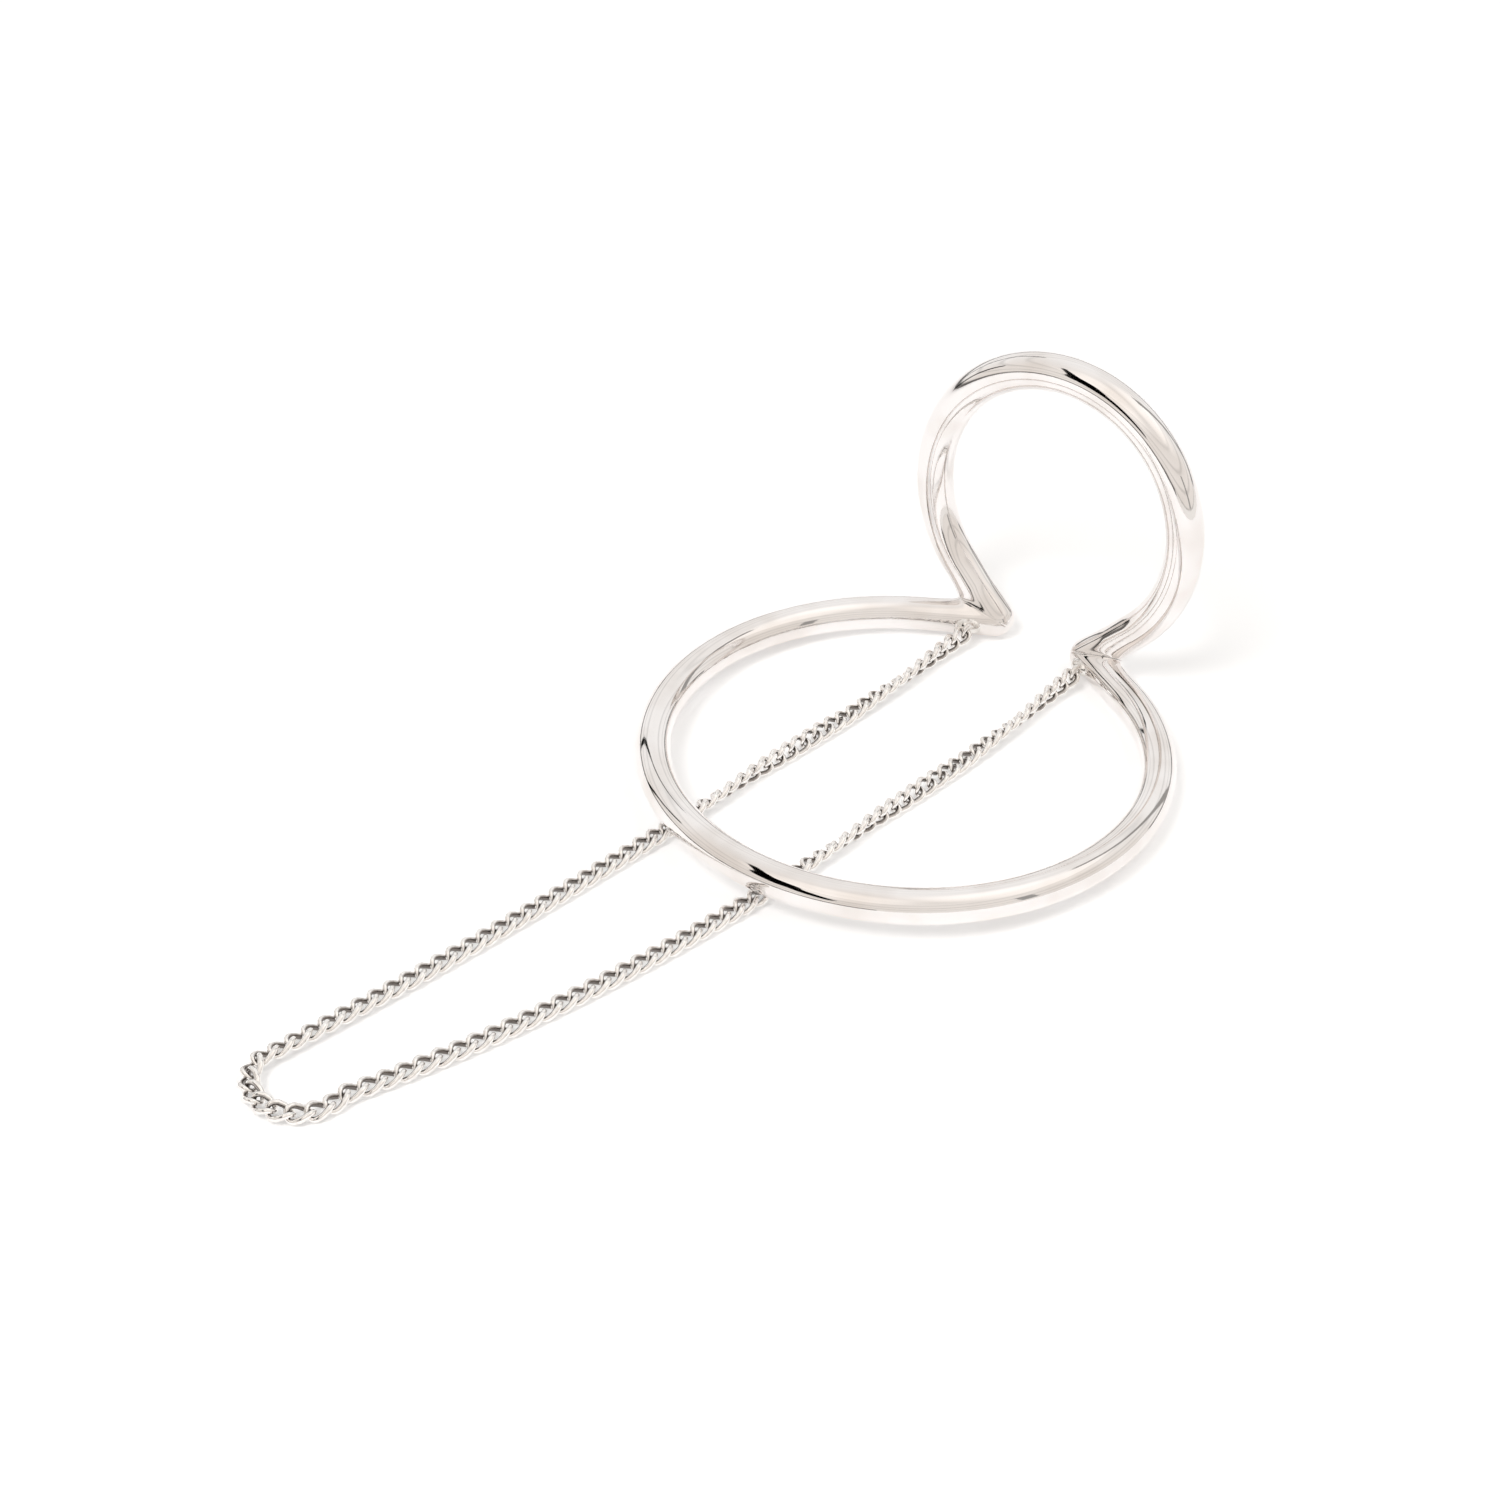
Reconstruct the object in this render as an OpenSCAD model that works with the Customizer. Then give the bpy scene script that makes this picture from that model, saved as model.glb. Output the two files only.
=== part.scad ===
// Double hoop finger ring with a loop of curb chain, laid down as it rests on a table.
// Millimetres. +X runs from the chain's tip to the small hoop, +Y is the left side, z = 0 is the table.

/* [Large hoop] */
// Radius of the large hoop, at the middle of its wire
large_r = 16.9; // [14:0.1:20]
// Diameter of the large hoop's wire
large_wire = 2.4; // [1.8:0.1:3]
// Straight run of the wire between the large hoop's round and an elbow
large_leg = 5.4; // [4:0.1:8]

/* [Small hoop] */
// Radius of the small hoop, at the middle of its wire
small_r = 10; // [8:0.1:12]
// Diameter of the small hoop's wire
small_wire = 2.6; // [1.8:0.1:3]
// Straight run of the wire between the small hoop's round and an elbow
small_leg = 4.8; // [4:0.1:7]
// Angle that the small hoop leans back from upright
small_lean = 4.6; // [0:0.1:10]

/* [Elbows] */
// Distance between the middles of the two elbows
waist = 7.8; // [7:0.1:10]

/* [Chain lugs] */
// Distance from an elbow's middle, back along the large hoop's leg, to its chain lug
lug_back = 0.55; // [0:0.05:1.5]
// Diameter of a lug's solder bead
bead_d = 1.1; // [0.8:0.05:1.4]
// Diameter of a lug's end ring, at the middle of its wire
eye_d = 1; // [0.9:0.02:1.2]
// Depth of the end ring's wire in the solder bead, from the bead's rim
eye_sink = 0.3; // [0.2:0.05:0.5]

/* [Chain links] */
// Distance from one link to the next
link_pitch = 1.2; // [1.1:0.01:1.3]
// Diameter of the links' wire
link_wire = 0.38; // [0.3:0.01:0.39]
// Width of a link over its wire
link_width = 1.48; // [1.46:0.01:1.6]
// Play between two links along the chain
link_play = 0.08; // [0.06:0.01:0.14]
// Turn of each end of a link about the chain, from its middle
link_twist = 55; // [52:1:58]
// Squareness of a link's oval, where 2 is an ellipse
link_square = 2.6; // [2.4:0.1:2.8]

/* [Chain lay] */
// Links in each strand, from its lug to the tip
strand_links = 52; // [46:1:54]
// Links round the tip
tip_count = 8; // [7:1:10]
// Heading of the left strand at its lug, away from the long axis
left_lay = 7; // [4:0.5:9]
// Turn of the left strand's heading along its length
left_bend = 6.5; // [3:0.5:9]
// Heading of the right strand at its lug, away from the long axis
right_lay = 5.3; // [3:0.1:7]
// Turn of the right strand's heading along its length
right_bend = 19.5; // [16:0.5:22]
// Roll of the chain at the lugs, which it loses on its way under the large hoop
lug_roll = 300; // [270:5:315]
// Links that lie flat between the end of that roll and the large hoop's far side
flat_links = 0; // [0:1:3]
// Roll of the chain where the left strand meets the tip, with the inner side of the loop raised
tip_roll = 24; // [0:2:30]
// Roll of the chain where the tip meets the right strand, with the outer side of the loop raised
end_roll = 5; // [0:1:20]
// Links over which the left strand takes up that roll
left_tip_links = 11; // [8:1:14]
// Links over which the right strand takes up that roll
right_tip_links = 7; // [6:1:12]
// Links over which the chain comes down from the lugs to the table
drop_links = 6; // [4:1:9]
// Clearance between the chain and what it lies on or under
lay_gap = 0.04; // [0.02:0.01:0.1]

/* [Hidden] */
$fn = 64;
metal = "silver";
link_rings = 12;
link_sides = 6;
path_step = 0.5;
// A leg runs a little way into its round, a hair thinner than it
leg_run_in = 0.2;
leg_step = 0.02;
// Limits and halvings of the search for the tip's arc
arc_low = 1;
arc_high = 170;
arc_halvings = 40;
half_waist = waist / 2;

// Hoop geometry: each leg is tangent to its round, so the reach of the round's middle follows
large_reach = sqrt(large_r * large_r + large_leg * large_leg - half_waist * half_waist);
large_open = atan2(half_waist, large_reach) + atan2(large_leg, large_r);
small_reach = sqrt(small_r * small_r + small_leg * small_leg - half_waist * half_waist);
small_open = atan2(half_waist, small_reach) + atan2(small_leg, small_r);
elbow_z = large_wire / 2;
// Side of the blocks that cut the mitres, well over the thickness of the wires
mitre_block = 3 * max(large_wire, small_wire);

// Link geometry, at the middle of the wire
link_a = (link_pitch + link_wire + link_play) / 2;
link_b = (link_width - link_wire) / 2;
nest = link_wire + link_play;

// A cosine or sine with the corners of a squarer oval
function squared(v) = sign(v) * pow(abs(v), 2 / link_square);
// Middle of a link's wire at angle t round its oval, with the ends turned about the chain
function link_path(t) =
    let (x = link_a * squared(cos(t)), w = link_b * squared(sin(t)), turn = -link_twist * x / link_a)
    [x, w * cos(turn), w * sin(turn)];
function unit(v) = v / norm(v);
// Ring of points round the wire at angle t
function link_ring(t) =
    let (
        p = link_path(t),
        along = unit(link_path(t + path_step) - link_path(t - path_step)),
        out = unit(p - along * (p * along)),
        side = cross(along, out)
    )
    [for (s = [0 : link_sides - 1])
        let (u = 360 * s / link_sides) p + link_wire / 2 * (out * cos(u) + side * sin(u))];
function ring_index(r, s) = (r % link_rings) * link_sides + s % link_sides;
link_points = [for (r = [0 : link_rings - 1]) each link_ring(360 * r / link_rings)];
link_faces = [for (r = [0 : link_rings - 1]) for (s = [0 : link_sides - 1]) each [
    [ring_index(r, s), ring_index(r + 1, s), ring_index(r + 1, s + 1)],
    [ring_index(r, s), ring_index(r + 1, s + 1), ring_index(r, s + 1)]
]];

// Height of a link's middle over the table when it is rolled about the chain
function lie(roll) =
    lay_gap + max([for (p = link_points) abs(p.y * sin(roll) + p.z * cos(roll))]);
// The large hoop's far side rides on the flat chain
hoop_tilt = asin((lie(0) + lay_gap) * 2 / (large_reach + large_r * cos(large_open)));

// Directions from an elbow along its two legs, on the side with sign y
function tilted(v) =
    [v.x * cos(hoop_tilt) + v.z * sin(hoop_tilt), v.y, v.z * cos(hoop_tilt) - v.x * sin(hoop_tilt)];
function large_leg_dir(y) = tilted([-sin(large_open), y * cos(large_open), 0]);
function small_leg_dir(y) =
    [sin(small_open) * sin(small_lean), y * cos(small_open), sin(small_open) * cos(small_lean)];
function elbow(y) = [0, y * half_waist, elbow_z];

function along_lay(angle) = [-cos(angle), sin(angle), 0];
// Lugs: the bead sits on the leg's surface, and the end ring stands out of it towards the chain
function lug_axis(y) = elbow(y) + large_leg_dir(y) * lug_back;
function bead_pos(y, lay) =
    lug_axis(y) + along_lay(lay) * large_wire / 2 / norm(cross(along_lay(lay), large_leg_dir(y)));
function eye_pos(y, lay) = bead_pos(y, lay) + along_lay(lay) * (bead_d / 2 - eye_sink + eye_d / 2);
eye_roll = lug_roll + link_twist + 90;
function strand_start(y, lay) = eye_pos(y, lay) + along_lay(lay) * (eye_d - nest) / 2;

// Links over which the chain's roll runs out, before the large hoop's far side crosses it
roll_reach = large_reach + large_r - large_wire / 2 + strand_start(1, left_lay).x;
roll_links = floor(roll_reach / link_pitch) - flat_links;
// Roll of the chain k links from its lug, on the strand with sign y
function tip_links_of(y) = y > 0 ? left_tip_links : right_tip_links;
function roll(k, y) =
    k < roll_links ? lug_roll * (1 - k / roll_links)
    : (y > 0 ? tip_roll : end_roll) * max(0, 1 - (strand_links - k) / tip_links_of(y));
// Roll of the chain k links round the tip
function tip_turn(k) = tip_roll - (tip_roll + end_roll) * k / tip_count;
// Height of the chain k links from its lug
function chain_z(k, y) =
    lie(roll(k, y)) + (elbow_z - lie(lug_roll)) * pow(max(0, 1 - k / drop_links), 2);
function heading(k, lay, bend) = lay + bend * pow(k / strand_links, 2);

// Pivots between links, in the plane of the table, from the lug to the end of the strand
function strand_plan(start, lay, bend) = [
    for (k = 0, p = start; k <= strand_links;
         p = p + link_pitch * along_lay(heading(k + 0.5, lay, bend)), k = k + 1) p
];
function strand(y, lay, bend) =
    let (plan = strand_plan(strand_start(y, lay), lay, bend))
    [for (k = [0 : strand_links]) [plan[k].x, plan[k].y, chain_z(k, y)]];
left_pivots = strand(1, left_lay, left_bend);
right_pivots = strand(-1, right_lay, right_bend);

// Tip: equal chords on an arc from the left strand's end to the right strand's end
tip_from = left_pivots[strand_links];
tip_to = right_pivots[strand_links];
tip_gap = norm([tip_to.x - tip_from.x, tip_to.y - tip_from.y]);
function chord_ratio(half_arc) = sin(half_arc) / sin(half_arc / tip_count);
function half_arc(low, high, n) =
    let (mid = (low + high) / 2)
    n == 0 ? mid
    : chord_ratio(mid) * link_pitch > tip_gap ? half_arc(mid, high, n - 1)
    : half_arc(low, mid, n - 1);
tip_half = half_arc(arc_low, arc_high, arc_halvings);
tip_dir = atan2(tip_to.y - tip_from.y, tip_to.x - tip_from.x);
function tip_angle(k) = tip_dir - tip_half * (1 - (2 * k + 1) / tip_count);
tip_pivots = [
    for (k = 0, p = tip_from; k <= tip_count;
         p = p + link_pitch * [cos(tip_angle(k)), sin(tip_angle(k)), 0], k = k + 1)
        [p.x, p.y, lie(tip_turn(k))]
];

// The origin is under the middle of the whole length
tip_x = min([for (p = tip_pivots) p.x]) - lie(0);
back_x = (small_reach + small_r) * sin(small_lean) + small_wire / 2;
mid_x = (tip_x + back_x) / 2;

function pair_name(k) = str("link_pair_", k < 10 ? "0" : "", k);

// Straight leg with a round end, along +Z from inside its round
module leg(length, wire) {
    d = wire - leg_step;
    rotate_extrude() {
        translate([0, -leg_run_in])
            square([d / 2, length + leg_run_in]);
        translate([0, length])
            intersection() {
                circle(d = d);
                square(d / 2);
            }
    }
}

// Open round in the XY plane with a leg at each end, opening towards +X, elbows at x = 0
module open_hoop(r, wire, leg_length, reach, open) {
    translate([-reach, 0, 0]) {
        rotate([0, 0, open])
            rotate_extrude(angle = 360 - 2 * open)
                translate([r, 0])
                    circle(d = wire);
        for (y = [-1, 1])
            rotate([0, 0, y * open])
                translate([r, 0, 0])
                    rotate([y * 90, 0, 0])
                        leg(leg_length, wire);
    }
}

// Block on one side of an elbow's mitre: side 1 is the small hoop's, side -1 the large hoop's
module mitre_cut(y, side) {
    n = side * unit(small_leg_dir(y) - large_leg_dir(y));
    translate(elbow(y))
        rotate([0, acos(n.z), atan2(n.y, n.x)])
            translate([-mitre_block / 2, -mitre_block / 2, 0])
                cube(mitre_block);
}

module large_hoop() {
    color(metal)
        difference() {
            translate([0, 0, elbow_z])
                rotate([0, hoop_tilt, 0])
                    open_hoop(large_r, large_wire, large_leg, large_reach, large_open);
            for (y = [-1, 1])
                mitre_cut(y, 1);
        }
}

module small_hoop() {
    color(metal)
        difference() {
            translate([0, 0, elbow_z])
                rotate([0, 90 + small_lean, 0])
                    open_hoop(small_r, small_wire, small_leg, small_reach, small_open);
            for (y = [-1, 1])
                mitre_cut(y, -1);
        }
}

// Solder bead with the chain's end ring, shaped to the leg that it sits on
module lug(y, lay) {
    color(metal)
        difference() {
            union() {
                translate(bead_pos(y, lay))
                    rotate([0, 90, -lay])
                        sphere(d = bead_d);
                translate(eye_pos(y, lay))
                    rotate([eye_roll, 0, 180 - lay])
                        rotate_extrude()
                            translate([eye_d / 2, 0])
                                circle(d = link_wire);
            }
            translate([0, 0, elbow_z])
                rotate([0, hoop_tilt, 0])
                    translate([-large_reach, 0, 0])
                        rotate([0, 0, y * large_open])
                            translate([large_r, 0, 0])
                                rotate([y * 90, 0, 0])
                                    leg(large_leg, large_wire);
        }
}

module left_lug() {
    lug(1, left_lay);
}

module right_lug() {
    lug(-1, right_lay);
}

// One curb link between two pivots, rolled about the chain
module link(from, to, turn) {
    e = unit(to - from);
    translate((from + to) / 2)
        rotate([turn, -asin(e.z), atan2(e.y, e.x)])
            polyhedron(link_points, link_faces);
}

// The two links that lie k links from the lugs, one in each strand
module link_pair(k) {
    color(metal) {
        link(left_pivots[k - 1], left_pivots[k], roll(k - 0.5, 1));
        link(right_pivots[k - 1], right_pivots[k], roll(k - 0.5, -1));
    }
}

// The links round the tip
module tip_links() {
    color(metal)
        for (k = [1 : tip_count])
            link(tip_pivots[k - 1], tip_pivots[k], tip_turn(k - 0.5));
}

translate([-mid_x, 0, 0]) {
    large_hoop();
    small_hoop();
    left_lug();
    right_lug();
    for (k = [1 : strand_links])
        link_pair(k);
    tip_links();
}
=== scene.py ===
import math
import bpy
import numpy as np
from mathutils import Matrix


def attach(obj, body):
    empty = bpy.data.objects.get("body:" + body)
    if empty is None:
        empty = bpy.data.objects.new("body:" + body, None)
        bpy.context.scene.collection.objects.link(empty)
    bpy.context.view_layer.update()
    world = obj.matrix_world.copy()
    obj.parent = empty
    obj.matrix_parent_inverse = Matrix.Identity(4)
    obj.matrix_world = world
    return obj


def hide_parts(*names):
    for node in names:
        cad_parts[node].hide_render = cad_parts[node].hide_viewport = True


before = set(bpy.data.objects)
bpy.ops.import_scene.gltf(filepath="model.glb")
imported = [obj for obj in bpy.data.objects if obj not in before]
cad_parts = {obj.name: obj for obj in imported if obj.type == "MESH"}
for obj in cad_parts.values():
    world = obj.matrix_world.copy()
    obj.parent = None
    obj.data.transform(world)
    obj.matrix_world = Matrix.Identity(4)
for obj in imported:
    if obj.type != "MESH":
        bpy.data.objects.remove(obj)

scene = bpy.context.scene
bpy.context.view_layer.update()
mm = 0.001                                   # the part is worked out in mm, the studio in metres
rad = math.radians
xAxis, yAxis, zAxis = range(3)
upward = np.array([0, 0, 1.0])
halvings = 40                                # steps of a search by halves
mixA, mixB, mixOut = 6, 7, 2                 # colour sockets of a Mix node


def linear(hexText):                         # sRGB hex to linear RGBA
    part = np.array([int(hexText[i:i + 2], 16) for i in (1, 3, 5)]) / 255
    value = np.where(part <= 0.04045, part / 12.92, ((part + 0.055) / 1.055) ** 2.4)
    return (*value.tolist(), 1.0)


# one node: its settings, the stops of its ramp, then its sockets, set or linked
def addNode(tree, kind, sockets=None, stops=(), **settings):
    made = tree.nodes.new("ShaderNode" + kind)
    for key, value in settings.items():
        setattr(made, key, value)
    for position, colour in stops:
        made.color_ramp.elements.new(position).color = colour
    for spare in (-1, 0) if stops else ():   # the two that a new ramp comes with
        made.color_ramp.elements.remove(made.color_ramp.elements[spare])
    for key, value in (sockets or {}).items():
        if isinstance(value, bpy.types.NodeSocket):
            tree.links.new(value, made.inputs[key])
        else:
            made.inputs[key].default_value = value
    return made


def newMaterial(name):
    material = bpy.data.materials.new(name)
    material.use_nodes = True
    material.node_tree.nodes.clear()
    return material, material.node_tree


def unit(v):
    return v / np.linalg.norm(v, axis=-1, keepdims=True)


def smoothStep(value):                       # 3 v^2 - 2 v^3, from 0 to 1 with level ends
    value = np.clip(value, 0, 1)
    return value * value * (3 - 2 * value)


def evenAngles(count):                       # round a full circle, without the first one again
    return 2 * np.pi * np.arange(count) / count


def turnAbout(axis, deg):                    # rotation about an axis, for one angle or an array
    c, s = np.cos(np.radians(deg)), np.sin(np.radians(deg))
    a, b = (axis + 1) % 3, (axis + 2) % 3
    turned = np.zeros((*np.shape(deg), 3, 3))
    turned[..., axis, axis] = 1
    turned[..., a, a], turned[..., b, b] = c, c
    turned[..., b, a], turned[..., a, b] = s, -s
    return turned


def towards(azimuth, elevation):             # unit vector, azimuth counted from +X
    a, e = np.radians(azimuth), np.radians(elevation)
    return np.stack([np.cos(a) * np.cos(e), np.sin(a) * np.cos(e), np.sin(e)], -1)


def uprightAxes(back):                       # columns right, up and back; it looks along -back
    right = unit(np.cross(upward, back))
    return np.stack([right, np.cross(back, right), back], 1)


def matrixAt(axes, place):
    return Matrix([[*row, at] for row, at in zip(axes.tolist(), place)] + [[0, 0, 0, 1]])


def gridFaces(rows, cols, wrapRows):         # quads of a grid whose columns close on themselves
    i = np.arange(rows if wrapRows else rows - 1)[:, None]
    j = np.arange(cols)[None, :]
    corner = [(i, j), (i, j + 1), (i + 1, j + 1), (i + 1, j)]
    index = np.stack([(a % rows) * cols + b % cols for a, b in corner], -1)
    mapAt = np.stack([np.stack(np.broadcast_arrays(a, b), -1) for a, b in corner], -2)
    return index.reshape(-1, 4), mapAt.reshape(-1, 4, 2).astype(float)


# surfaces are (points, wrapRows, mapStep, capEnds); mapStep is in mm along and round the wire
def makePiece(name, surfaces, material):
    verts, faces, maps, smooth, base = [], [], [], [], 0
    for points, wrapRows, mapStep, capEnds in surfaces:
        rows, cols = points.shape[:2]
        quads, mapAt = gridFaces(rows, cols, wrapRows)
        verts.append(points.reshape(-1, 3))
        faces += (quads + base).tolist()
        smooth += [True] * len(quads)
        maps.append((mapAt * mapStep).reshape(-1, 2))
        start, base = base, base + rows * cols
        for end, order in ((0, -1), (rows - 1, 1)) if capEnds else ():
            ring = start + end * cols + np.arange(cols)
            verts.append(points[end].mean(0, keepdims=True))
            fan = np.stack([ring, np.roll(ring, -1), np.full(cols, base)], -1)
            faces += fan[:, ::order].tolist()
            smooth += [False] * cols
            maps.append(np.zeros((fan.size, 2)))
            base += 1
    mesh = bpy.data.meshes.new(name)
    mesh.from_pydata((np.concatenate(verts) * mm).tolist(), [], faces)
    mesh.uv_layers.new(name="wireMap").data.foreach_set("uv", np.concatenate(maps).ravel())
    mesh.polygons.foreach_set("use_smooth", smooth)
    mesh.materials.append(material)
    mesh.validate()
    piece = bpy.data.objects.new(name, mesh)
    scene.collection.objects.link(piece)
    return piece


def dress(piece, body, node):
    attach(piece, body)
    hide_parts(node)


def toneStops(finish):                       # from the finish's dark tone to its light one
    low, high = finish["toneRange"]
    return (low, linear(finish["dark"])), (high, linear(finish["light"]))


# Rhodium-plated silver wire, drawn and then buffed: a near-white mirror, with faint draw lines
# along the wire and slow waves left by the buffing wheel. Real draw lines lie closer than lineGap;
# these are as coarse as they need to be to show.
hoopFinish = dict(light="#F4F1F0", dark="#E9E4E1", toneRange=(0.35, 0.6),
                  roughLow=0.035, roughHigh=0.11, roughRange=(0.35, 0.75),
                  lineGap=0.18, lineLength=9.0, lineHeight=0.0012, lineDetail=3.0,
                  waveSize=4.0, waveHeight=0.004, waveDetail=2.0)


def wireSilver(finish):                      # the draw lines follow the wire map's first axis
    material, tree = newMaterial("rhodiumPlatedSilverWire")
    wireMap = addNode(tree, "UVMap", uv_map="wireMap")
    streakMap = addNode(tree, "Mapping", {
        "Vector": wireMap.outputs["UV"],
        "Scale": (1 / finish["lineLength"], 1 / finish["lineGap"], 1)})
    streak = addNode(tree, "TexNoise", {
        "Vector": streakMap.outputs["Vector"], "Scale": 1.0, "Detail": finish["lineDetail"]})
    place = addNode(tree, "TexCoord")
    wave = addNode(tree, "TexNoise", {
        "Vector": place.outputs["Object"], "Scale": 1 / (finish["waveSize"] * mm),
        "Detail": finish["waveDetail"]})
    tone = addNode(tree, "ValToRGB", {"Fac": wave.outputs["Fac"]}, toneStops(finish))
    rough = addNode(tree, "MapRange", {
        "Value": streak.outputs["Fac"],
        "From Min": finish["roughRange"][0], "From Max": finish["roughRange"][1],
        "To Min": finish["roughLow"], "To Max": finish["roughHigh"]})
    waveBump = addNode(tree, "Bump", {
        "Height": wave.outputs["Fac"], "Strength": 1.0, "Distance": finish["waveHeight"] * mm})
    lineBump = addNode(tree, "Bump", {
        "Height": streak.outputs["Fac"], "Strength": 1.0, "Distance": finish["lineHeight"] * mm,
        "Normal": waveBump.outputs["Normal"]})
    skin = addNode(tree, "BsdfPrincipled", {
        "Base Color": tone.outputs["Color"], "Metallic": 1.0,
        "Roughness": rough.outputs["Result"], "Normal": lineBump.outputs["Normal"]})
    addNode(tree, "OutputMaterial", {"Surface": skin.outputs["BSDF"]})
    return material


# Tumble-polished silver curb links: bright outside, a little softer than the hoops, with small
# dings. The inner faces are painted a dull grey, as painted shade for the shade between the links.
chainFinish = dict(light="#FBF9F7", dark="#EDE9E6", toneRange=(0.3, 0.6),
                   # the dark grey here is painted shade for the links' inner faces
                   inner="#827C78", innerRange=(-0.9, -0.2),
                   roughLow=0.07, roughHigh=0.17, roughRange=(0.3, 0.7),
                   dentSize=0.35, dentHeight=0.006, dentDetail=4.0, dentGrain=0.6)

# Hard silver solder, pickled and brushed over: greyer and more matt than the wire, with a
# rippled skin.
solderFinish = dict(light="#EEEBE8", dark="#DAD5D0", toneRange=(0.3, 0.6),
                    roughLow=0.08, roughHigh=0.2, roughRange=(0.3, 0.7),
                    dentSize=0.4, dentHeight=0.01, dentDetail=4.0, dentGrain=0.6)


# one noise gives tone, roughness and dents; innerWire is the wire whose inner side gets painted
# shade
def pittedSilver(name, finish, innerWire=None):
    material, tree = newMaterial(name)
    place = addNode(tree, "TexCoord")
    dent = addNode(tree, "TexNoise", {
        "Vector": place.outputs["Object"], "Scale": 1 / (finish["dentSize"] * mm),
        "Detail": finish["dentDetail"], "Roughness": finish["dentGrain"]})
    tone = addNode(tree, "ValToRGB", {"Fac": dent.outputs["Fac"]}, toneStops(finish))
    colour = tone.outputs["Color"]
    rough = addNode(tree, "MapRange", {
        "Value": dent.outputs["Fac"],
        "From Min": finish["roughRange"][0], "From Max": finish["roughRange"][1],
        "To Min": finish["roughHigh"], "To Max": finish["roughLow"]})
    bump = addNode(tree, "Bump", {
        "Height": dent.outputs["Fac"], "Strength": 1.0, "Distance": finish["dentHeight"] * mm})
    # painted shade: the side of each link wire that faces into the link is mixed towards a dark
    # grey
    if innerWire:
        wireMap = addNode(tree, "UVMap", uv_map="wireMap")
        roundWire = addNode(tree, "SeparateXYZ", {0: wireMap.outputs["UV"]})
        turn = addNode(tree, "Math", {0: roundWire.outputs["Y"], 1: innerWire / 2},
                       operation="DIVIDE")   # run round the wire over its radius
        outside = addNode(tree, "Math", {0: turn.outputs[0]}, operation="COSINE")   # -1 is inside
        reached = addNode(tree, "MapRange", {
            "Value": outside.outputs[0],
            "From Min": finish["innerRange"][0], "From Max": finish["innerRange"][1]})
        worn = addNode(tree, "Mix", {
            0: reached.outputs["Result"], mixA: linear(finish["inner"]), mixB: colour},
            data_type="RGBA")
        colour = worn.outputs[mixOut]
    skin = addNode(tree, "BsdfPrincipled", {
        "Base Color": colour, "Metallic": 1.0,
        "Roughness": rough.outputs["Result"], "Normal": bump.outputs["Normal"]})
    addNode(tree, "OutputMaterial", {"Surface": skin.outputs["BSDF"]})
    return material


link = dict(pitch=1.2, wire=0.38, width=1.48, play=0.08, twist=55, square=2.6, layGap=0.04,
            sideWire=0.42, endWire=0.35, thinning=8, rings=20, sides=8, solidRings=12, solidSides=6)
linkA = (link["pitch"] + link["wire"] + link["play"]) / 2    # half length of the middle line
linkB = (link["width"] - link["wire"]) / 2                   # and half its width
nest = link["wire"] + link["play"]                           # from wire to wire where links hang


def linkTube(rings, sides, sideWire, endWire):
    # A squared oval of wire: x = a C(t), w = b S(t), where C and S are cosine and sine raised to
    # 2/square, turned about the chain by -twist x / a; a round of the wire's radius is carried
    # along it. The wire is thinner at the link's ends, where the next link turns:
    # thickness = end + (side - end) sin^thinning t.
    def middle(t):
        c, s = np.cos(t), np.sin(t)
        x = linkA * np.sign(c) * np.abs(c) ** (2 / link["square"])
        w = linkB * np.sign(s) * np.abs(s) ** (2 / link["square"])
        turn = -rad(link["twist"]) * x / linkA
        return np.stack([x, w * np.cos(turn), w * np.sin(turn)], -1)

    t, step = evenAngles(rings), rad(0.5)
    p = middle(t)
    along = unit(middle(t + step) - middle(t - step))
    out = unit(p - along * (p * along).sum(-1, keepdims=True))
    side = np.cross(along, out)
    u = evenAngles(sides)[:, None]
    spoke = out[:, None] * np.cos(u) + side[:, None] * np.sin(u)
    wire = endWire + (sideWire - endWire) * np.sin(t) ** link["thinning"]
    return p[:, None] + wire[:, None, None] / 2 * spoke


# the solids' link sets how high the chain lies
solidLink = linkTube(link["solidRings"], link["solidSides"], link["wire"], link["wire"])
solidLink = solidLink.reshape(-1, 3)


def lieHeight(roll):                         # of a link's middle over the table, rolled by so much
    s, c = np.sin(np.radians(roll)), np.cos(np.radians(roll))
    across = np.multiply.outer(s, solidLink[:, 1]) + np.multiply.outer(c, solidLink[:, 2])
    return link["layGap"] + np.abs(across).max(-1)


waist = 7.8                                  # between the middles of the elbows
largeHoop = dict(radius=16.9, wire=2.4, leg=5.4)
smallHoop = dict(radius=10.0, wire=2.6, leg=4.8, lean=4.6)
elbow = dict(radius=1.25, knob=1.4, knobRun=2.8, standHeight=0.01, tailRun=3.6, blendRun=1.5,
             fillet=0.5, crookMost=0.95, seamDepth=0.015, seamWidth=0.06, rows=64, rowCrowd=1.6)
hoopMesh = dict(sides=96, rows=110)
elbowZ = largeHoop["wire"] / 2
shift = np.array([32.2256, 0, 0])            # the frame's origin is under the whole length's middle


# reach from the elbows' line to the round's middle, and half the opening in degrees
def hoopNumbers(hoop):
    r, leg, half = hoop["radius"], hoop["leg"], waist / 2
    reach = math.sqrt(r * r + leg * leg - half * half)
    return reach, math.degrees(math.atan2(half, reach) + math.atan2(leg, r))


largeReach, largeOpen = hoopNumbers(largeHoop)
smallReach, smallOpen = hoopNumbers(smallHoop)
rideHeight = (float(lieHeight(0.0)) + link["layGap"]) * 2     # the far side rides on the chain
ridingLength = largeReach + largeHoop["radius"] * math.cos(rad(largeOpen))
hoopTilt = math.degrees(math.asin(rideHeight / ridingLength))


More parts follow.
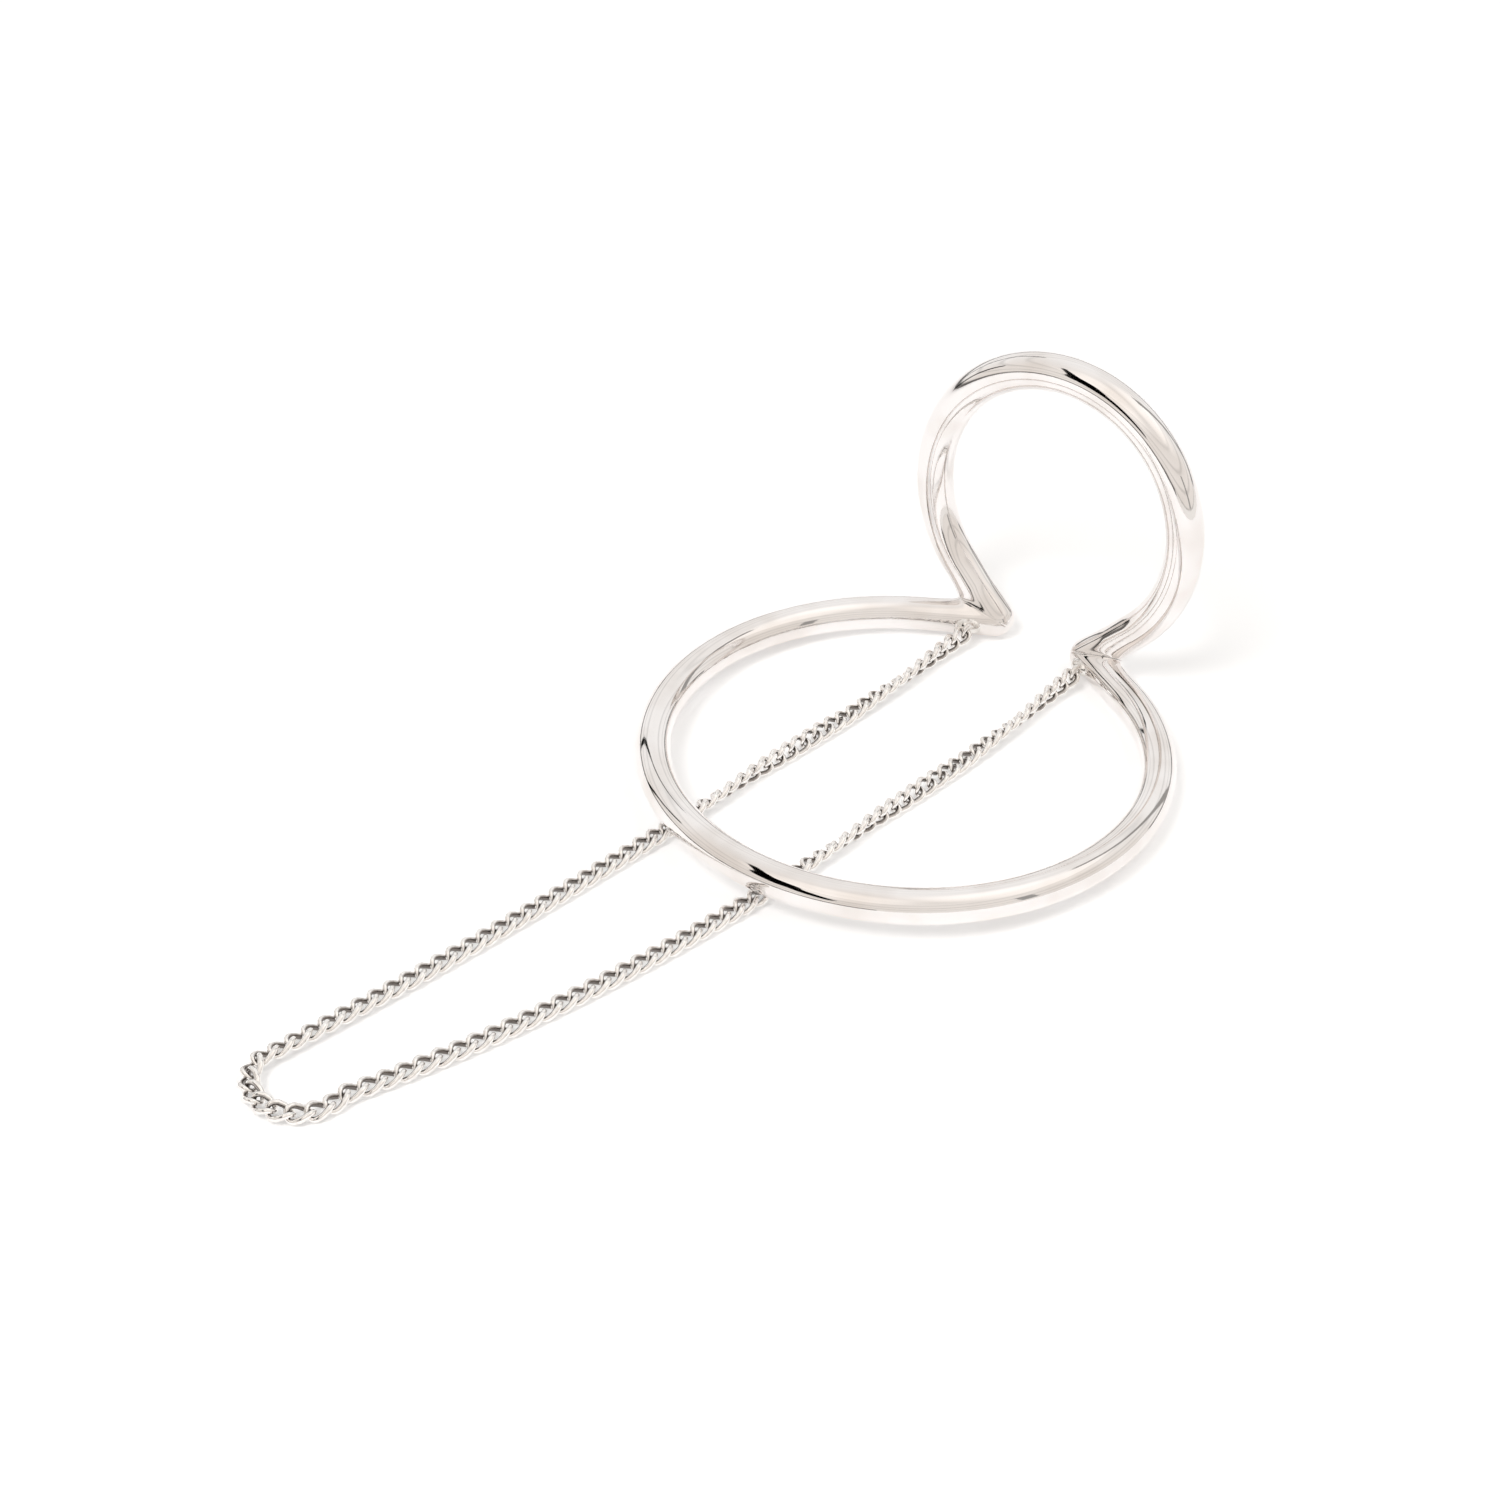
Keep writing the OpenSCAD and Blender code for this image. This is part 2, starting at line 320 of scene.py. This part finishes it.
def legDirections(y):                        # from an elbow along its two legs; y is its side
    aside, ahead = math.cos(rad(largeOpen)), math.sin(rad(largeOpen))
    large = turnAbout(yAxis, hoopTilt) @ np.array([-ahead, y * aside, 0])
    rise, lean = math.sin(rad(smallOpen)), rad(smallHoop["lean"])
    small = np.array([rise * math.sin(lean), y * math.cos(rad(smallOpen)), rise * math.cos(lean)])
    return large, small


def hoopSurface(hoop, reach, opening, tilt, side):
    # A round of the wire's radius carried along leg, round and leg. Each line along the wire runs
    # on over a half ball at the elbow until it meets the mitre plane. In the crook of the two legs
    # the V of the skin is made a hyperbola, h = sqrt(rise^2 + fillet^2), as solder fills it, and a
    # hair of a seam is pressed in.
    r, leg = hoop["radius"], hoop["leg"]
    arc = r * (np.pi - rad(opening))         # half of the round
    lay = turnAbout(yAxis, tilt)
    u = evenAngles(hoopMesh["sides"])[:, None]

    def surface(s, y):                       # s runs from the far side over the elbow's half ball
        taper = smoothStep((s - arc) / leg)[..., None]
        swell = smoothStep((s - arc - leg + elbow["knobRun"]) / elbow["knobRun"])[..., None]
        straight = np.clip(s - arc, 0, leg)[..., None]
        ball = np.clip((s - arc - leg) / elbow["knob"], 0, np.pi / 2)[..., None]
        angle = y * (np.pi - np.minimum(s, arc) / r)
        out = np.stack([np.cos(angle), np.sin(angle), 0 * angle], -1)
        ahead = np.stack([np.sin(angle), -np.cos(angle), 0 * angle], -1) * y
        spoke = out * np.cos(u) - upward * np.sin(u)
        facing = (np.cos(ball) * spoke + np.sin(ball) * ahead) @ lay.T
        middle = (r * out + ahead * straight - [reach, 0, 0]) @ lay.T + [0, 0, elbowZ]
        lift = np.clip(1 + facing[..., 2:], 0, 1)               # the knob swells less to the table
        wireR = (hoop["wire"] / 2 + (elbow["radius"] - hoop["wire"] / 2) * taper
                 + (elbow["knob"] - elbow["radius"]) * swell * lift)
        p = middle + wireR * facing
        p[..., 2] = np.maximum(p[..., 2], elbow["standHeight"])   # and is flat on it
        return p, facing

    def half(y):
        large, small = legDirections(y)
        normal, corner = side * unit(small - large), np.array([0, y * waist / 2, elbowZ])
        first = arc + leg - elbow["tailRun"] * elbow["radius"]
        low = np.full(len(u), first)
        high = np.full(len(u), arc + leg + elbow["knob"] * np.pi / 2)
        for halving in range(halvings):      # all lines at once close in on the mitre plane
            mid = (low + high) / 2
            past = (surface(mid[None], y)[0][0] - corner) @ normal > 0
            low, high = np.where(past, low, mid), np.where(past, mid, high)
        bend = np.linspace(0, first, hoopMesh["rows"], endpoint=False)[:, None]
        share = 1 - (1 - np.linspace(0, 1, elbow["rows"])[:, None]) ** elbow["rowCrowd"]
        s = np.concatenate([np.repeat(bend, len(u), 1), first + (low - first) * share])
        p, facing = surface(s, y)
        away = np.abs((p - corner) @ normal)[..., None]
        inward = (facing @ normal)[..., None]                   # most where the legs close up
        crook = np.clip(inward, 0, elbow["crookMost"])
        along = facing - inward * normal
        rise = away * crook / np.sqrt(1 - crook ** 2)           # of the skin over the seam
        fill = np.sqrt(rise ** 2 + (elbow["fillet"] * crook ** 2) ** 2) - rise
        press = elbow["seamDepth"] * np.exp(-(away / elbow["seamWidth"]) ** 2)
        blend = smoothStep((s - first) / elbow["blendRun"])[..., None]
        return p + blend * (unit(along + 1e-9) * fill - facing * press)   # never a zero length

    left, right = half(1), half(-1)
    return np.concatenate([left[::-1], right[1:]]), (arc + leg) / hoopMesh["rows"]


hoopSilver = wireSilver(hoopFinish)
for name, hoop, reach, opening, tilt, side in (
        ("large_hoop", largeHoop, largeReach, largeOpen, hoopTilt, 1),
        ("small_hoop", smallHoop, smallReach, smallOpen, 90 + smallHoop["lean"], -1)):
    points, rowStep = hoopSurface(hoop, reach, opening, tilt, side)
    mapStep = (rowStep, np.pi * hoop["wire"] / hoopMesh["sides"])
    piece = makePiece(name + "_wire", [(points + shift, False, mapStep, True)], hoopSilver)
    dress(piece, "frame", name)
print("hoops: reach", round(largeReach, 3), round(smallReach, 3), "tilt", round(hoopTilt, 3))


lug = dict(back=0.55, bead=1.1, eye=1.0, sink=0.3, roll=300, spread={1: 0.4, -1: -0.25},
           stretch=1.5, flare=0.2, flareHeight=0.13, beadRows=25, beadSides=36, ringRows=28,
           ringSides=10, beadMap=(0.1, 0.1), ringMap=(0.11, 0.12))
chain = dict(links=52, tipCount=8, leftLay=7, leftBend=6.5, rightLay=5.3, rightBend=19.5,
             rollLinks=25, tipRoll=24, endRoll=5, leftTip=11, rightTip=7, dropLinks=6)


def alongLay(angle):                         # heading over the table, away from the hoops
    a = np.radians(angle)
    return np.stack([-np.cos(a), np.sin(a), np.zeros_like(angle)], -1)


def lugSurfaces(y, lay):
    # Bead: a ball drawn out along the leg, whose points slide out over the leg's skin the nearer
    # they are to it, as solder wets the wire. End ring: a round of the link wire's radius carried
    # round a circle, turned as the link before the first one would be.
    large = legDirections(y)[0]
    axis = np.array([0, y * waist / 2, elbowZ]) + large * lug["back"]
    ahead = alongLay(np.float64(lay))
    bead = axis + ahead * largeHoop["wire"] / 2 / np.linalg.norm(np.cross(ahead, large))
    theta = np.linspace(0, np.pi, lug["beadRows"])[1:-1, None]
    phi = -evenAngles(lug["beadSides"])[None, :]
    ball = np.stack([np.sin(theta) * np.cos(phi), np.sin(theta) * np.sin(phi),
                     np.cos(theta) + 0 * phi], -1)
    p = lug["bead"] / 2 * ball @ (turnAbout(zAxis, -lay) @ turnAbout(yAxis, 90)).T
    p = bead + p + large * ((lug["stretch"] - 1) * p @ large + lug["spread"][y])[..., None]
    fromLeg = p - axis - ((p - axis) @ large)[..., None] * large
    height = np.linalg.norm(fromLeg, axis=-1, keepdims=True) - largeHoop["wire"] / 2
    skin = unit(fromLeg)
    slide = p - bead - ((p - bead) * skin).sum(-1, keepdims=True) * skin
    p = p + unit(slide) * lug["flare"] * np.exp(-np.abs(height) / lug["flareHeight"])
    eye = bead + ahead * (lug["bead"] / 2 - lug["sink"] + lug["eye"] / 2)
    t = evenAngles(lug["ringRows"])[:, None]
    u = evenAngles(lug["ringSides"])[None, :]
    reach = lug["eye"] / 2 + link["wire"] / 2 * np.cos(u)
    ring = np.stack([reach * np.cos(t), reach * np.sin(t),
                     -link["wire"] / 2 * np.sin(u) + 0 * t], -1)
    hang = turnAbout(zAxis, 180 - lay) @ turnAbout(xAxis, lug["roll"] + link["twist"] + 90)
    start = eye + ahead * (lug["eye"] - nest) / 2
    return p, ring @ hang.T + eye, start


lugSilver = pittedSilver("hardSilverSolder", solderFinish)
starts = {}                                  # where the first link of each strand hangs
for name, y, lay in (("left_lug", 1, chain["leftLay"]), ("right_lug", -1, chain["rightLay"])):
    bead, ring, starts[y] = lugSurfaces(y, lay)
    surfaces = [(bead + shift, False, lug["beadMap"], True),
                (ring + shift, True, lug["ringMap"], False)]
    piece = makePiece(name + "_solder", surfaces, lugSilver)
    dress(piece, "frame", name)
print("lugs:", np.round(starts[1], 3), np.round(starts[-1], 3))


def chainRoll(k, y):                         # the chain's roll about itself, k links from its lug
    tipLinks, last = ((chain["leftTip"], chain["tipRoll"]) if y > 0
                      else (chain["rightTip"], chain["endRoll"]))
    end = last * np.maximum(0, 1 - (chain["links"] - k) / tipLinks)
    return np.where(k < chain["rollLinks"], lug["roll"] * (1 - k / chain["rollLinks"]), end)


def tipTurn(k):                              # the same round the tip, from left strand to right
    return chain["tipRoll"] - (chain["tipRoll"] + chain["endRoll"]) * k / chain["tipCount"]


def stepsFrom(start, step):                  # start, then the sums of the steps
    return start + np.concatenate([np.zeros((1, 3)), np.cumsum(step, 0)])


# where link meets link: equal steps on a heading that turns with the square of k
def strandPivots(y, lay, bend):
    k = np.arange(chain["links"] + 1)
    heading = lay + bend * ((k[:-1] + 0.5) / chain["links"]) ** 2
    plan = stepsFrom(starts[y], link["pitch"] * alongLay(heading))
    fall = elbowZ - lieHeight(float(lug["roll"]))
    drop = fall * np.maximum(0, 1 - k / chain["dropLinks"]) ** 2
    plan[:, 2] = lieHeight(chainRoll(k, y)) + drop
    return plan


def tipPivots(start, end):                   # equal chords on an arc between the strands' ends
    count, (dx, dy) = chain["tipCount"], (end - start)[:2]
    low, high = rad(1), rad(170)             # half the arc's angle lies between these
    for halving in range(halvings):
        mid = (low + high) / 2
        longer = math.sin(mid) / math.sin(mid / count) * link["pitch"] > math.hypot(dx, dy)
        low, high = (mid, high) if longer else (low, mid)
    turn = math.atan2(dy, dx) - low * (1 - (2 * np.arange(count) + 1) / count)
    plan = stepsFrom(start, link["pitch"] * np.stack([np.cos(turn), np.sin(turn), 0 * turn], -1))
    plan[:, 2] = lieHeight(tipTurn(np.arange(count + 1)))
    return plan


chainSilver = pittedSilver("tumbledSilverLinks", chainFinish, link["sideWire"])
oneLink = linkTube(link["rings"], link["sides"], link["sideWire"], link["endWire"])
linkMap = (4 * (linkA + linkB) / link["rings"], np.pi * link["sideWire"] / link["sides"])


# the one link set between each two pivots, rolled about the line between them
def linksAlong(pivots, roll):
    e = unit(np.diff(pivots, axis=0))
    heading, climb = np.degrees(np.arctan2(e[:, 1], e[:, 0])), np.degrees(np.arcsin(e[:, 2]))
    turned = turnAbout(zAxis, heading) @ turnAbout(yAxis, -climb) @ turnAbout(xAxis, roll)
    middle = (pivots[:-1] + pivots[1:]) / 2 + shift
    return np.einsum("kij,rsj->krsi", turned, oneLink) + middle[:, None, None]


atLink = np.arange(chain["links"]) + 0.5
leftPivots = strandPivots(1, chain["leftLay"], chain["leftBend"])
rightPivots = strandPivots(-1, chain["rightLay"], chain["rightBend"])
leftLinks = linksAlong(leftPivots, chainRoll(atLink, 1))
rightLinks = linksAlong(rightPivots, chainRoll(atLink, -1))
for k in range(chain["links"]):
    surfaces = [(links[k], True, linkMap, False) for links in (leftLinks, rightLinks)]
    piece = makePiece("curb_links_%02d" % (k + 1), surfaces, chainSilver)
    dress(piece, "pair_%02d" % (k + 1), "link_pair_%02d" % (k + 1))
atTip = np.arange(chain["tipCount"]) + 0.5
tipLinks = linksAlong(tipPivots(leftPivots[-1], rightPivots[-1]), tipTurn(atTip))
piece = makePiece("curb_links_tip", [(one, True, linkMap, False) for one in tipLinks], chainSilver)
dress(piece, "tip", "tip_links")
print("chain:", 2 * chain["links"] + chain["tipCount"], "links")


# pixelX and pixelY are where the photo shows the middle between the elbows
view = dict(azimuth=-53.6, elevation=37.0, distance=212.4, pixelX=1041.9, pixelY=637.4,
            focal=3000.0, image=1500, sensor=36, clipStart=5.0)
viewAxes = uprightAxes(towards(view["azimuth"] - 90, view["elevation"]))   # 0 looks along +Y
right, up, back = viewAxes.T
offX, offY = view["pixelX"] - view["image"] / 2, view["pixelY"] - view["image"] / 2
place = view["distance"] * (back - right * offX / view["focal"] + up * offY / view["focal"])
place = (place + shift + [0, 0, elbowZ]) * mm
camera = bpy.data.objects.new("camera", bpy.data.cameras.new("camera"))
camera.data.sensor_width = view["sensor"]
camera.data.lens = view["sensor"] * view["focal"] / view["image"]
camera.data.clip_start = view["clipStart"] * mm
camera.matrix_world = matrixAt(viewAxes, place)
scene.collection.objects.link(camera)
scene.camera = camera
print("camera:", np.round(place, 4))


# bands are (height, tone) of the walls, from the table up: the gaps between the soft boxes
studio = dict(floor="#F7F7F7", floorGlow=0.3, floorHalf=4.0, floorDrop=0.00002,
              wall="#F2EEEA", box="#FFFFFF", boxAt=(30, 20), boxRange=(0.1, 0.75), worldLight=0.5,
              lampColour=(1.0, 0.99, 0.985), lampAim=(0.02, 0, 0.005),
              spotCore=8, spotEdge=32, spotGain=0.3, bandWarmth=(1, 0.985, 0.965),
              bands=((0.005, 0.12), (0.05, 0.18), (0.085, 0.95), (0.2, 1.0), (0.235, 0.72),
                     (0.27, 1.0), (0.4, 0.96), (0.435, 0.74), (0.48, 1.0), (0.62, 0.96),
                     (0.655, 0.82), (0.7, 1.0), (0.86, 0.94), (0.95, 1.0)))
lamps = (dict(name="keyLamp", at=(175, 55), distance=0.8, size=0.35, watts=2.4),
         dict(name="fillLamp", at=(-60, 60), distance=0.9, size=0.5, watts=1.4))


def seenByEye(tree):                         # 1 for camera, glossy and transmission rays
    path = addNode(tree, "LightPath")
    seen = addNode(tree, "Math", {
        0: path.outputs["Is Camera Ray"], 1: path.outputs["Is Glossy Ray"]}, operation="MAXIMUM")
    return addNode(tree, "Math", {
        0: seen.outputs[0], 1: path.outputs["Is Transmission Ray"]}, operation="MAXIMUM")


# White acrylic sweep: matt, and lit from below for the eye, so that it reads as white and still
# takes a shadow.
floorSkin, tree = newMaterial("whiteAcrylicTable")
glow = addNode(tree, "Math", {0: seenByEye(tree).outputs[0], 1: studio["floorGlow"]},
               operation="MULTIPLY")
matt = addNode(tree, "BsdfDiffuse", {"Color": linear(studio["floor"])})
light = addNode(tree, "Emission", {"Strength": glow.outputs[0]})
both = addNode(tree, "AddShader", {0: matt.outputs[0], 1: light.outputs[0]})
addNode(tree, "OutputMaterial", {"Surface": both.outputs[0]})
floorMesh = bpy.data.meshes.new("table")
corners = np.array([(-1, -1), (1, -1), (1, 1), (-1, 1)]) * studio["floorHalf"]
floorMesh.from_pydata([(x, y, -studio["floorDrop"]) for x, y in corners], [], [(0, 1, 2, 3)])
floorMesh.materials.append(floorSkin)
floor = bpy.data.objects.new("table", floorMesh)
scene.collection.objects.link(floor)

world = bpy.data.worlds.new("studio")
scene.world = world
world.use_nodes = True
tree = world.node_tree
tree.nodes.clear()
look = addNode(tree, "TexCoord")
facing = addNode(tree, "VectorMath", {
    0: look.outputs["Generated"], 1: towards(*studio["boxAt"]).tolist()}, operation="DOT_PRODUCT")
wallStop, boxStop = studio["boxRange"]       # a wide soft box against pale grey walls
wallTone = addNode(tree, "ValToRGB", {"Fac": facing.outputs["Value"]}, (
    (wallStop, linear(studio["wall"])), (boxStop, linear(studio["box"]))))
height = addNode(tree, "SeparateXYZ", {0: look.outputs["Generated"]})
bands = addNode(tree, "ValToRGB", {"Fac": height.outputs["Z"]}, [   # they draw lines along the wire
    (position, (*(tone * warm for warm in studio["bandWarmth"]), 1))
    for position, tone in studio["bands"]])
banded = addNode(tree, "Mix", {
    0: 1.0, mixA: wallTone.outputs["Color"], mixB: bands.outputs["Color"]},
    data_type="RGBA", blend_type="MULTIPLY")
path = addNode(tree, "LightPath")
shown = addNode(tree, "Mix", {
    0: path.outputs["Is Camera Ray"], mixA: banded.outputs[mixOut], mixB: (1.0, 1.0, 1.0, 1.0)},
    data_type="RGBA")
seen = seenByEye(tree)
level = addNode(tree, "MapRange", {
    "Value": seen.outputs[0], "To Min": studio["worldLight"], "To Max": 1.0})
for lamp in lamps:                           # a soft bright patch of a box in front of each lamp
    toward = addNode(tree, "VectorMath", {
        0: look.outputs["Generated"], 1: towards(*lamp["at"]).tolist()}, operation="DOT_PRODUCT")
    patch = addNode(tree, "MapRange", {
        "Value": toward.outputs["Value"], "From Min": math.cos(rad(studio["spotEdge"])),
        "From Max": math.cos(rad(studio["spotCore"])), "To Max": studio["spotGain"]},
        interpolation_type="SMOOTHSTEP")
    level = addNode(tree, "Math", {
        0: patch.outputs[0], 1: seen.outputs[0], 2: level.outputs[0]}, operation="MULTIPLY_ADD")
sky = addNode(tree, "Background", {"Color": shown.outputs[mixOut], "Strength": level.outputs[0]})
addNode(tree, "OutputWorld", {"Surface": sky.outputs[0]})

for lamp in lamps:
    data = bpy.data.lights.new(lamp["name"], "AREA")
    data.shape, data.size = "DISK", lamp["size"]
    data.energy, data.color = lamp["watts"], studio["lampColour"]
    toLamp = towards(*lamp["at"])
    hung = bpy.data.objects.new(lamp["name"], data)
    place = toLamp * lamp["distance"] + studio["lampAim"]
    hung.matrix_world = matrixAt(uprightAxes(toLamp), place)
    hung.visible_glossy = False              # the polished wire mirrors the soft boxes instead
    scene.collection.objects.link(hung)

# Cards round the table, out of the eye's sight. The black and grey ones give the polished wire its
# dark streaks, and the pale one in front keeps the dark foot of the walls off it. The paths are
# (azimuth, elevation), the widths are in degrees.
cards = dict(radius=0.45, middle=(0.015, 0, 0.003), rows=41, cols=5, warmth=(1, 0.97, 0.93))
flags = (dict(name="flagHigh", path=((125, 57), (150, 44), (157, 38), (161, 34), (166, 30),
                                     (172, 28), (178, 24), (-172, 18)),
              width=(3, 7, 18, 20, 17, 12, 11, 7), tone=0.0),
         dict(name="flagThin", path=((60, 45), (62, 33), (78, 5)), width=2.5, tone=0.0),
         dict(name="flagSide", path=((112, 26), (100, 13), (94, 1)), width=4, tone=0.0),
         dict(name="flagRight", path=((-24, 55), (-22, 30), (-20, 0)), width=7, tone=0.35),
         dict(name="flagFront", path=((-97, 25), (-97, 6)), width=7, tone=0.35),
         dict(name="fillFront", path=((-155, 1.5), (-125, 1.5), (-95, 1.5), (-65, 1.5), (-38, 1.5)),
              width=7, tone=0.9))
for flag in flags:
    # A ribbon on a sphere: the path's points are directions, joined by straight lines and pushed
    # out to the radius.
    knots = towards(*np.array(flag["path"], float).T)
    atKnot = np.arange(len(knots))
    s = np.linspace(0, len(knots) - 1, cards["rows"])
    middle = unit(np.stack([np.interp(s, atKnot, row) for row in knots.T], -1))
    side = unit(np.cross(np.gradient(middle, axis=0), middle))
    width = np.interp(s, atKnot, np.broadcast_to(flag["width"], len(knots)))
    across = np.linspace(-1, 1, cards["cols"])[:, None] * np.radians(width / 2)[:, None, None]
    ribbon = unit(middle[:, None] + side[:, None] * np.tan(across)) * cards["radius"]
    ribbon = (ribbon + cards["middle"]).reshape(-1, 3)
    rows, cols = cards["rows"], cards["cols"]
    corner = (np.arange(rows - 1)[:, None] * cols + np.arange(cols - 1)).ravel()
    quads = np.stack([corner, corner + 1, corner + cols + 1, corner + cols], -1)
    card = bpy.data.meshes.new(flag["name"])
    card.from_pydata(ribbon.tolist(), [], quads.tolist())
    cardSkin, tree = newMaterial(flag["name"] + "Card")
    shade = addNode(tree, "Emission", {
        "Color": (*(flag["tone"] * warm for warm in cards["warmth"]), 1)})
    addNode(tree, "OutputMaterial", {"Surface": shade.outputs[0]})
    card.materials.append(cardSkin)
    held = bpy.data.objects.new(flag["name"], card)
    held.visible_camera = held.visible_diffuse = False
    held.visible_shadow = held.visible_transmission = False
    scene.collection.objects.link(held)
print("studio: table, lamps and", len(flags), "cards")

scene.view_settings.view_transform = "Standard"
